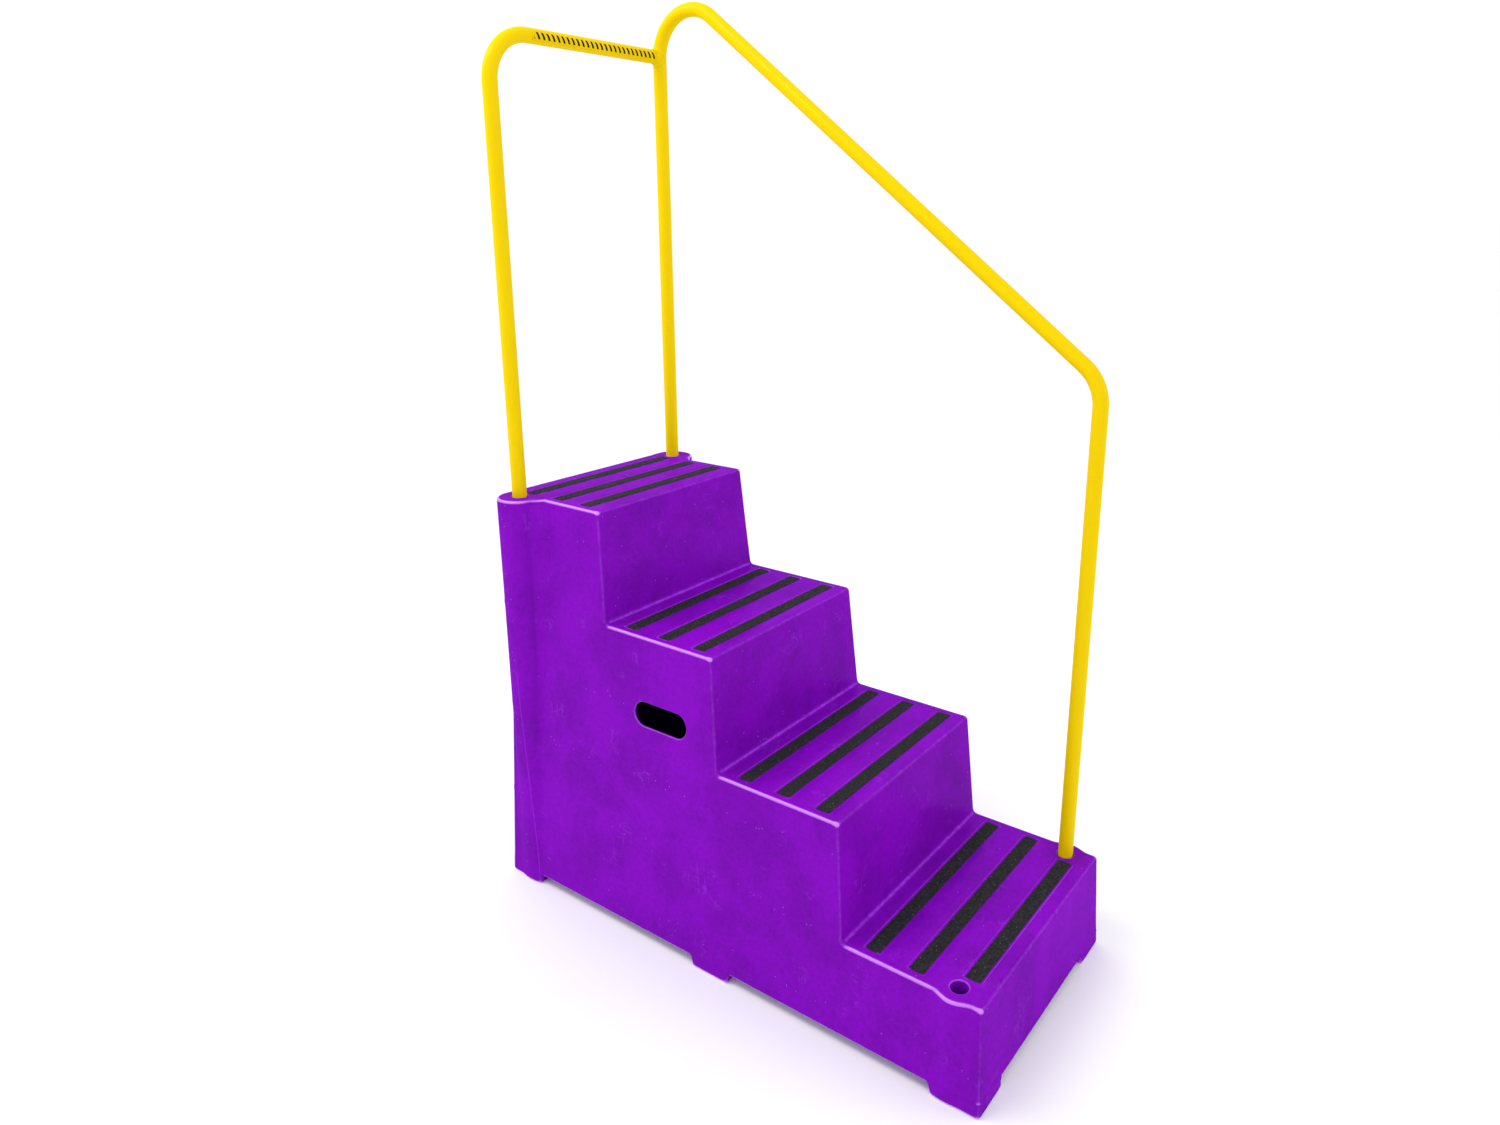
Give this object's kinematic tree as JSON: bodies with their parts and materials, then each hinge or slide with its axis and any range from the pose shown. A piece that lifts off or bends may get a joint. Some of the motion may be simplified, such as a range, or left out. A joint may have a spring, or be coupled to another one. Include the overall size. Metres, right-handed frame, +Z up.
{
  "type": "mounting block with handrail",
  "caption": "Hollow moulded flight of treads for mounting a horse, with black grip strips, side hand slots, low feet and a lift-out yellow tubular handrail along one side and across the back.",
  "frame": {"origin": "on the floor, under the middle of the block", "axes": "+Z up, steps climb towards +Y, +X to the right hand of a rider who climbs them"},
  "size_m": [0.512, 1.09, 1.7371],
  "materials": {
    "moulded_plastic": "satin, faintly mottled rotational moulding",
    "grip_tape": "coarse mineral grit",
    "rail_paint": "gloss powder coat",
    "marking_band": "printed film",
    "leg_plug": "plain"
  },
  "bodies": {
    "block": {"step_body": "moulded_plastic", "tread_1_front_strip": "grip_tape", "tread_1_middle_strip": "grip_tape", "tread_1_rear_strip": "grip_tape", "tread_2_front_strip": "grip_tape", "tread_2_middle_strip": "grip_tape", "tread_2_rear_strip": "grip_tape", "tread_3_front_strip": "grip_tape", "tread_3_middle_strip": "grip_tape", "tread_3_rear_strip": "grip_tape", "tread_4_front_strip": "grip_tape", "tread_4_middle_strip": "grip_tape", "tread_4_rear_strip": "grip_tape"},
    "handrail": {"handrail_tube": "rail_paint", "rear_rail_tube": "rail_paint", "rail_weld": "rail_paint", "rail_label": "marking_band", "front_leg_plug": "leg_plug", "rear_right_leg_plug": "leg_plug", "rear_left_leg_plug": "leg_plug"}
  },
  "joints": [
    {"name": "handrail_lift", "type": "slide", "parent": "block", "child": "handrail", "axis": [0, 0, 1], "range_m": [0, 0.18]}
  ]
}
